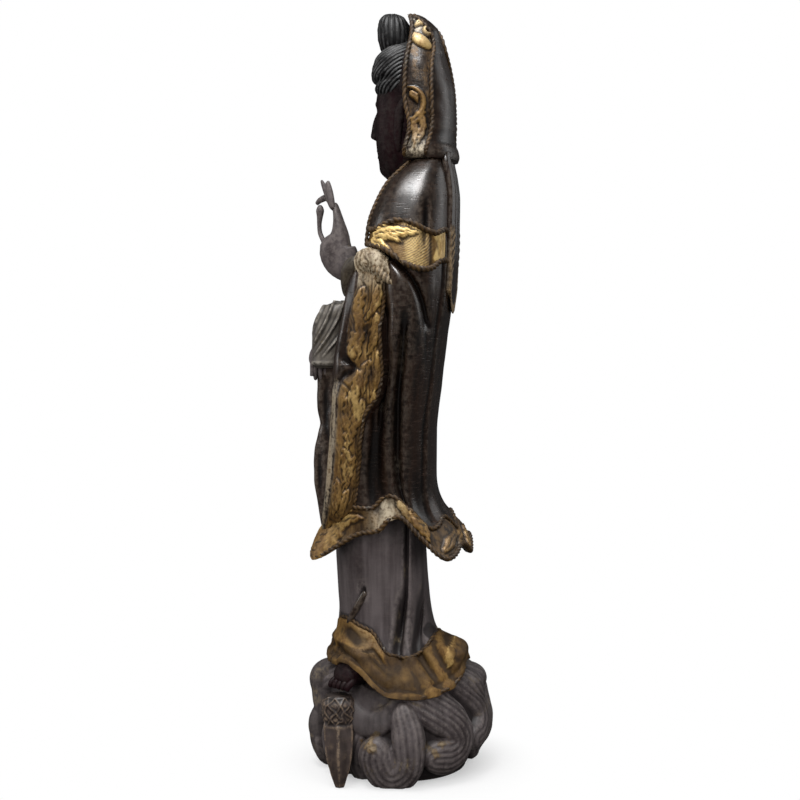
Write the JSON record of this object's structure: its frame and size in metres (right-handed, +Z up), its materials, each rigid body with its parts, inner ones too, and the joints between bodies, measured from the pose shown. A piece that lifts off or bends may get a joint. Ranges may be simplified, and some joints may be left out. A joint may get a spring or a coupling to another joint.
{
  "type": "guanyin figure",
  "caption": "Standing carved wood guanyin in hooded, gilt-bordered robes, one hand raised, on a base of swirling clouds.",
  "frame": {"origin": "on the ground under the middle of the cloud base", "axes": "+Z up the figure, -Y the way that it faces, +X to its left"},
  "size_m": [0.1552, 0.1585, 0.6087],
  "materials": {
    "lacquered_wood": "dark brown lacquer, half gloss, with worn gilding on the borders",
    "dark_wood": "dark stained, matte, dusty in the hollows"
  },
  "bodies": {
    "root": {"figure": "lacquered_wood", "cloud_base": "dark_wood"}
  },
  "joints": []
}
